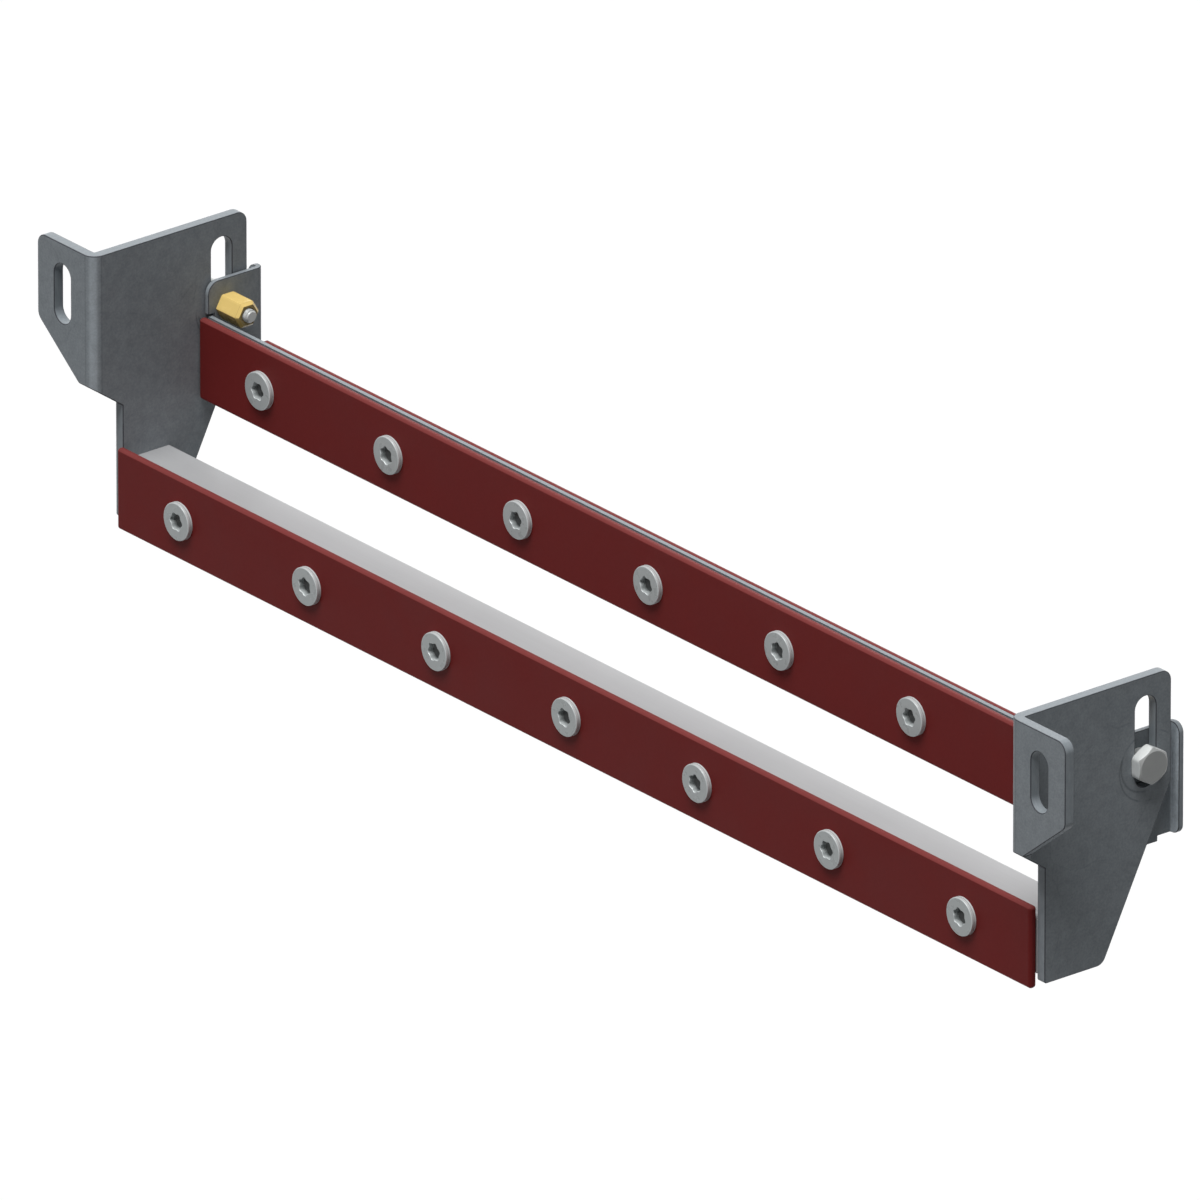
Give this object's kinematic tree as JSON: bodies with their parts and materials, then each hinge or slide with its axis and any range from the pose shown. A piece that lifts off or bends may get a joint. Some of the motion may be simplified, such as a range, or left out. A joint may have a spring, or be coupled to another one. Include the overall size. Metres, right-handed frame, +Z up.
{
  "type": "conveyor belt scraper",
  "caption": "Belt scraper with a fixed lower blade on a square bar and a clamped upper blade that slides and tilts, hung between two bent side plates with slotted flanges.",
  "frame": {"origin": "midway between the side plates, on the flanges' rear mounting faces, at the height of the mounting slots' centres", "axes": "+X along the blades to the right seen from the blades' front, +Y from the mounting flanges to the rear, +Z up"},
  "size_m": [0.55, 0.0725, 0.1027],
  "materials": {
    "plate_steel": "dark blue-grey steel sheet, matt with faint mottling",
    "carrier_steel": "dark blue-grey steel sheet, matt with faint mottling",
    "bar_steel": "bright drawn bar, satin",
    "red_polyurethane": "dark red polyurethane strip, satin",
    "zinc_plated_steel": "zinc plated, satin",
    "stainless_steel": "stainless steel, satin",
    "brass": "turned brass"
  },
  "bodies": {
    "root": {"lower_bar": "bar_steel", "lower_blade": "red_polyurethane", "lower_screw_1": "zinc_plated_steel", "lower_screw_2": "zinc_plated_steel", "lower_screw_3": "zinc_plated_steel", "lower_screw_4": "zinc_plated_steel", "lower_screw_5": "zinc_plated_steel", "lower_screw_6": "zinc_plated_steel", "lower_screw_7": "zinc_plated_steel", "side_plate_left": "plate_steel", "side_plate_right": "plate_steel"},
    "clamp_bolts": {"clamp_bolt_left": "stainless_steel", "clamp_bolt_right": "stainless_steel", "clamp_nut_left": "brass", "clamp_nut_right": "brass"},
    "upper_beam": {"backing_strip": "red_polyurethane", "beam_carrier": "carrier_steel", "upper_blade": "red_polyurethane", "upper_nuts": "zinc_plated_steel", "upper_screw_1": "zinc_plated_steel", "upper_screw_2": "zinc_plated_steel", "upper_screw_3": "zinc_plated_steel", "upper_screw_4": "zinc_plated_steel", "upper_screw_5": "zinc_plated_steel", "upper_screw_6": "zinc_plated_steel", "upper_screw_7": "zinc_plated_steel"}
  },
  "joints": [
    {"name": "beam_height", "type": "slide", "parent": "root", "child": "clamp_bolts", "axis": [0, 0, 1], "range_m": [-0.0043, 0.0197]},
    {"name": "beam_tilt", "type": "hinge", "parent": "clamp_bolts", "child": "upper_beam", "pos_m": [0, 0.052, -0.0127], "axis": [1, 0, 0], "range_deg": [-6.5, 16]}
  ]
}
